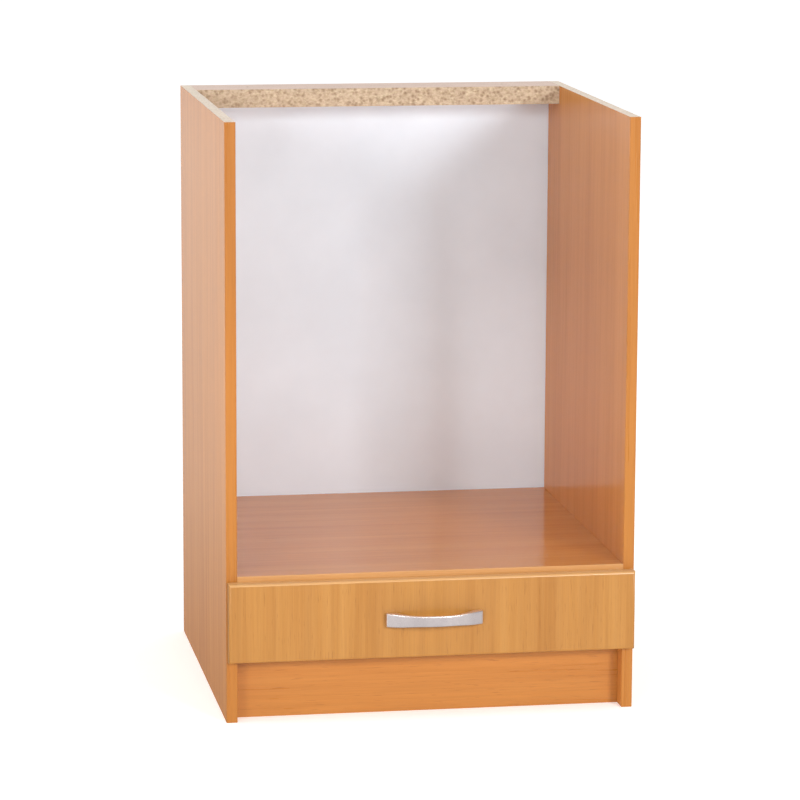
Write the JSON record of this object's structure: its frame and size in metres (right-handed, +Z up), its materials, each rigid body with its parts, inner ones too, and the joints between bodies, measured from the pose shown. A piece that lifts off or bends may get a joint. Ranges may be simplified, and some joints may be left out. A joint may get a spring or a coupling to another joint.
{
  "type": "oven base cabinet",
  "caption": "Kitchen base cabinet with an open oven niche over a low drawer on roller runners, full-height side panels, recessed plinth and white back.",
  "frame": {"origin": "on the floor, at the middle of the width and of the whole depth from handle to back", "axes": "+X to the right seen from the front, +Y to the rear wall, +Z up"},
  "size_m": [0.6, 0.6086, 0.87],
  "materials": {
    "alder_board": "alder-look melamine board",
    "edge_strip": "alder-look edging strip",
    "alder_foil": "satin alder-look foil",
    "raw_chipboard": "bare coarse chipboard",
    "white_hardboard": "gloss white lacquered hardboard",
    "white_board": "white melamine board",
    "satin_nickel": "satin nickel plate",
    "white_steel": "white epoxy coat",
    "nylon": "natural nylon",
    "zinc_steel": "bright zinc plate",
    "beech": "bare beech"
  },
  "bodies": {
    "carcass": {"left_side_panel": "alder_board", "right_side_panel": "alder_board", "left_side_edging": "edge_strip", "right_side_edging": "edge_strip", "bottom_panel": "alder_board", "bottom_panel_edging": "edge_strip", "oven_shelf": "alder_board", "oven_shelf_edging": "edge_strip", "top_rear_rail": "raw_chipboard", "plinth_board": "alder_board", "back_panel": "white_hardboard", "back_panel_nails": "zinc_steel", "beech_dowels": "beech", "cam_bolts": "zinc_steel", "cam_locks": "zinc_steel", "cabinet_rail_left": "white_steel", "cabinet_rail_right": "white_steel", "cabinet_rail_screws": "zinc_steel", "cabinet_roller_axles": "zinc_steel"},
    "drawer": {"drawer_front": "alder_foil", "drawer_handle": "satin_nickel", "handle_screws": "zinc_steel", "drawer_front_screws": "zinc_steel", "drawer_inner_front": "white_board", "drawer_side_left": "white_board", "drawer_side_right": "white_board", "drawer_back": "white_board", "drawer_bottom": "white_hardboard", "drawer_box_screws": "zinc_steel", "drawer_bottom_nails": "zinc_steel", "drawer_rail_left": "white_steel", "drawer_rail_right": "white_steel", "drawer_rail_screws": "zinc_steel", "drawer_roller_axles": "zinc_steel"},
    "cabinet_roller_left": {"cabinet_roller_left": "nylon"},
    "cabinet_roller_right": {"cabinet_roller_right": "nylon"},
    "drawer_roller_left": {"drawer_roller_left": "nylon"},
    "drawer_roller_right": {"drawer_roller_right": "nylon"}
  },
  "joints": [
    {"name": "drawer_slide", "type": "slide", "parent": "carcass", "child": "drawer", "axis": [0, -1, 0], "range_m": [0, 0.37]},
    {"name": "cabinet_roller_left_spin", "type": "hinge", "parent": "carcass", "child": "cabinet_roller_left", "pos_m": [-0.27775, -0.24375, 0.1318], "axis": [1, 0, 0], "range_deg": [0, 2494.1]},
    {"name": "cabinet_roller_right_spin", "type": "hinge", "parent": "carcass", "child": "cabinet_roller_right", "pos_m": [0.27775, -0.24375, 0.1318], "axis": [1, 0, 0], "range_deg": [0, 2494.1]},
    {"name": "drawer_roller_left_spin", "type": "hinge", "parent": "drawer", "child": "drawer_roller_left", "pos_m": [-0.27775, 0.22875, 0.1318], "axis": [1, 0, 0], "range_deg": [0, 2494.1]},
    {"name": "drawer_roller_right_spin", "type": "hinge", "parent": "drawer", "child": "drawer_roller_right", "pos_m": [0.27775, 0.22875, 0.1318], "axis": [1, 0, 0], "range_deg": [0, 2494.1]}
  ],
  "couplings": [
    {"joint": "cabinet_roller_left_spin", "follows": "drawer_slide", "rad_per_m": 117.65},
    {"joint": "cabinet_roller_right_spin", "follows": "drawer_slide", "rad_per_m": 117.65},
    {"joint": "drawer_roller_left_spin", "follows": "drawer_slide", "rad_per_m": 117.65},
    {"joint": "drawer_roller_right_spin", "follows": "drawer_slide", "rad_per_m": 117.65}
  ]
}
